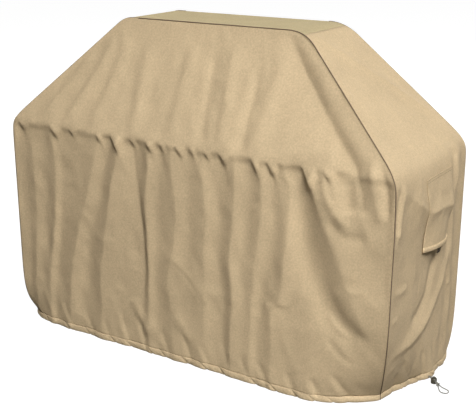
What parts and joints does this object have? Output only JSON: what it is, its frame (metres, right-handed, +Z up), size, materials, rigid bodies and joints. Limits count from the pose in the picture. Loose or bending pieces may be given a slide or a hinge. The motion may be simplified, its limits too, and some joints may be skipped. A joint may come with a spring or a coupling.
{
  "type": "grill cover",
  "caption": "Fitted cloth cover for a long grill, with a sloping roof, piped seams, hooded side vents and a drawcord hem with a cord lock.",
  "frame": {"origin": "on the ground, under the middle of the cover, measured without the free drawcord and its lock", "axes": "+Z up, +X along the cover's length towards the side with the cord lock, -Y towards the front"},
  "size_m": [1.7098, 0.605, 1.2225],
  "materials": {
    "cloth": "matte",
    "top_cloth": "matte",
    "hem_cloth": "matte",
    "piping": "matte",
    "mesh": "matte",
    "stay_plastic": "satin",
    "hook_tape": "matte",
    "cord": "matte",
    "lock_plastic": "satin",
    "spring_steel": "satin"
  },
  "bodies": {
    "cover": {"front_panel": "cloth", "back_panel": "cloth", "top_panel": "top_cloth", "right_side_panel": "cloth", "left_side_panel": "cloth", "front_hem": "hem_cloth", "right_hem": "hem_cloth", "back_hem": "hem_cloth", "left_hem": "hem_cloth", "front_piping": "piping", "back_piping": "piping", "right_vent_mesh": "mesh", "right_vent_patch": "hook_tape", "left_vent_mesh": "mesh", "left_vent_patch": "hook_tape", "hem_drawcord": "cord", "cord_tail": "cord", "cord_knot": "cord"},
    "right_vent": {"right_vent_hood": "cloth", "right_vent_lip": "hem_cloth", "right_vent_stay": "stay_plastic", "right_vent_tab": "hook_tape"},
    "left_vent": {"left_vent_hood": "cloth", "left_vent_lip": "hem_cloth", "left_vent_stay": "stay_plastic", "left_vent_tab": "hook_tape"},
    "cord_lock": {"cord_lock_body": "lock_plastic", "cord_lock_spring": "spring_steel"},
    "lock_button": {"cord_lock_button": "lock_plastic"}
  },
  "joints": [
    {"name": "right_vent_lift", "type": "hinge", "parent": "cover", "child": "right_vent", "pos_m": [0.8019, 0.025, 0.77], "axis": [0, -1, 0], "range_deg": [0, 100]},
    {"name": "left_vent_lift", "type": "hinge", "parent": "cover", "child": "left_vent", "pos_m": [-0.8019, 0.025, 0.77], "axis": [0, 1, 0], "range_deg": [0, 100]},
    {"name": "cord_lock_slide", "type": "slide", "parent": "cover", "child": "cord_lock", "axis": [0.809, -0.5878, 0], "range_m": [-0.018, 0.006]},
    {"name": "lock_button_press", "type": "slide", "parent": "cord_lock", "child": "lock_button", "axis": [0, 0, -1], "range_m": [0, 0.003], "stiffness_N_per_m": 800, "springref_m": -0.004, "deforming": ["cord_lock_spring"]}
  ]
}
